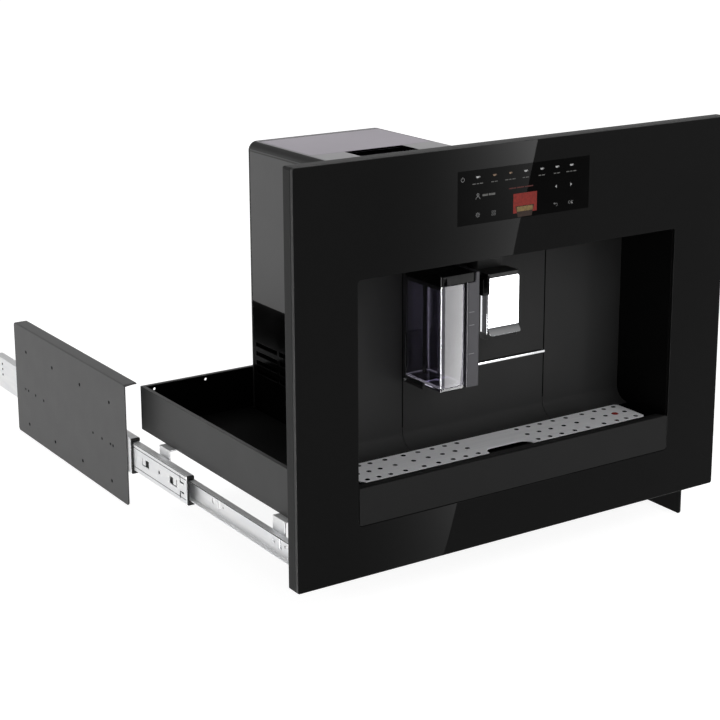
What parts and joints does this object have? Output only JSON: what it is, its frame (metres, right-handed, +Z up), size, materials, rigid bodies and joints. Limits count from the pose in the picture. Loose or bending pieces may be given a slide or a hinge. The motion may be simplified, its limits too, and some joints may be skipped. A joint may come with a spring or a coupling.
{
  "type": "built-in coffee machine",
  "caption": "Built-in coffee machine with a glass front, cup bay, milk container, height-adjustable spout, drip tray and telescopic cabinet slides.",
  "frame": {"origin": "midway between the two slides, on their centre line, in the plane of the cabinet's front edges, which is the front panel's rear face", "axes": "+X to the right along the front panel as a person faces it, +Y into the cabinet, +Z up"},
  "size_m": [0.595, 0.884, 0.504],
  "materials": {
    "black_glass": "black-backed toughened glass, polished",
    "display": "dark screen",
    "black_moulding": "moulded ABS, fine texture",
    "bay_plastic": "fine moulded texture",
    "inner_plastic": "moulded",
    "housing_grey": "fine moulded texture",
    "lid_grey": "satin",
    "base_black": "glossy black",
    "milk_grey": "satin grey",
    "clear_plastic": "clear, slightly violet",
    "smoked_plastic": "smoked clear plastic",
    "chrome": "bright chrome plating",
    "grid_steel": "brushed stainless steel",
    "float_red": "red",
    "black_sheet": "black powder coat",
    "grey_sheet": "dark grey powder coat",
    "zinc_steel": "zinc-plated steel",
    "works_metal": "cast"
  },
  "bodies": {
    "machine": {"front_glass": "black_glass", "front_frame": "black_moulding", "touch_display": "display", "bay_liner": "bay_plastic", "left_back_panel": "bay_plastic", "right_back_panel": "bay_plastic", "column_panel": "bay_plastic", "spout_guide": "inner_plastic", "milk_ledge": "inner_plastic", "upper_cover": "housing_grey", "base_housing": "base_black", "rear_cover": "black_sheet", "power_inlet": "inner_plastic", "bean_hopper": "smoked_plastic", "grinder": "works_metal", "water_tank": "smoked_plastic", "brew_unit": "inner_plastic", "boiler": "works_metal", "pump": "works_metal", "inner_frame": "works_metal", "base_tray": "black_sheet", "left_front_bracket": "zinc_steel", "left_rear_bracket": "zinc_steel", "right_front_bracket": "zinc_steel", "right_rear_bracket": "zinc_steel", "left_inner_rail": "zinc_steel", "right_inner_rail": "zinc_steel"},
    "left_middle": {"left_middle_rail": "zinc_steel", "left_middle_stop": "inner_plastic"},
    "left_outer": {"left_outer_rail": "zinc_steel", "left_outer_stop": "inner_plastic", "left_cabinet_plate": "grey_sheet"},
    "left_inner_cage": {"left_inner_ball_cage": "zinc_steel"},
    "left_outer_cage": {"left_outer_ball_cage": "zinc_steel"},
    "right_middle": {"right_middle_rail": "zinc_steel", "right_middle_stop": "inner_plastic"},
    "right_outer": {"right_outer_rail": "zinc_steel", "right_outer_stop": "inner_plastic", "right_cabinet_plate": "grey_sheet"},
    "right_inner_cage": {"right_inner_ball_cage": "zinc_steel"},
    "right_outer_cage": {"right_outer_ball_cage": "zinc_steel"},
    "spout": {"spout_body": "inner_plastic", "spout_cover": "chrome", "spout_left_trim": "chrome", "spout_right_trim": "chrome", "milk_inlet": "inner_plastic"},
    "milk_container": {"milk_jug": "clear_plastic", "milk_side_housing": "milk_grey"},
    "milk_lid": {"milk_lid": "base_black"},
    "drip_tray": {"drip_front": "bay_plastic", "drip_basin": "inner_plastic", "grounds_bin": "inner_plastic", "grounds_bin_front": "bay_plastic", "column_trim": "chrome"},
    "drip_grid": {"drip_grid": "grid_steel"},
    "level_float": {"level_float": "float_red"},
    "top_lid": {"top_lid": "lid_grey"},
    "brew_door": {"brew_door": "housing_grey"},
    "grind_knob": {"grind_knob": "inner_plastic"}
  },
  "joints": [
    {"name": "left_middle_slide", "type": "slide", "parent": "machine", "child": "left_middle", "axis": [0, 1, 0], "range_m": [-0.266, 0]},
    {"name": "left_outer_slide", "type": "slide", "parent": "left_middle", "child": "left_outer", "axis": [0, 1, 0], "range_m": [-0.142, 0.042]},
    {"name": "right_middle_slide", "type": "slide", "parent": "machine", "child": "right_middle", "axis": [0, 1, 0], "range_m": [0, 0.266]},
    {"name": "right_outer_slide", "type": "slide", "parent": "right_middle", "child": "right_outer", "axis": [0, 1, 0], "range_m": [0, 0.184]},
    {"name": "left_inner_cage_roll", "type": "slide", "parent": "machine", "child": "left_inner_cage", "axis": [0, 1, 0], "range_m": [-0.133, 0]},
    {"name": "left_outer_cage_roll", "type": "slide", "parent": "left_middle", "child": "left_outer_cage", "axis": [0, 1, 0], "range_m": [-0.071, 0.021]},
    {"name": "right_inner_cage_roll", "type": "slide", "parent": "machine", "child": "right_inner_cage", "axis": [0, 1, 0], "range_m": [0, 0.133]},
    {"name": "right_outer_cage_roll", "type": "slide", "parent": "right_middle", "child": "right_outer_cage", "axis": [0, 1, 0], "range_m": [0, 0.092]},
    {"name": "spout_height", "type": "slide", "parent": "machine", "child": "spout", "axis": [0, 0, 1], "range_m": [-0.03, 0.025]},
    {"name": "milk_container_pull", "type": "slide", "parent": "machine", "child": "milk_container", "axis": [0, -1, 0], "range_m": [0, 0.12]},
    {"name": "milk_lid_lift", "type": "slide", "parent": "milk_container", "child": "milk_lid", "axis": [0, 0, 1], "range_m": [0, 0.014]},
    {"name": "drip_tray_pull", "type": "slide", "parent": "machine", "child": "drip_tray", "axis": [0, -1, 0], "range_m": [0, 0.15]},
    {"name": "drip_grid_lift", "type": "slide", "parent": "drip_tray", "child": "drip_grid", "axis": [0, 0, 1], "range_m": [0, 0.06]},
    {"name": "float_rise", "type": "slide", "parent": "drip_tray", "child": "level_float", "axis": [0, 0, 1], "range_m": [0, 0.008]},
    {"name": "top_lid_hinge", "type": "hinge", "parent": "machine", "child": "top_lid", "pos_m": [0, 0.4035, 0.3795], "axis": [-1, 0, 0], "range_deg": [0, 100]},
    {"name": "brew_door_hinge", "type": "hinge", "parent": "machine", "child": "brew_door", "pos_m": [0.1015, 0.272, 0.275], "axis": [0, 0, 1], "range_deg": [0, 110]},
    {"name": "grind_knob_turn", "type": "hinge", "parent": "machine", "child": "grind_knob", "pos_m": [-0.0465, 0.3855, 0.36], "axis": [0, 0, 1], "range_deg": [-60, 60]}
  ],
  "couplings": [
    {"joint": "left_inner_cage_roll", "follows": "left_middle_slide", "ratio": 0.5},
    {"joint": "left_outer_cage_roll", "follows": "left_outer_slide", "ratio": 0.5},
    {"joint": "right_inner_cage_roll", "follows": "right_middle_slide", "ratio": 0.5},
    {"joint": "right_outer_cage_roll", "follows": "right_outer_slide", "ratio": 0.5}
  ]
}
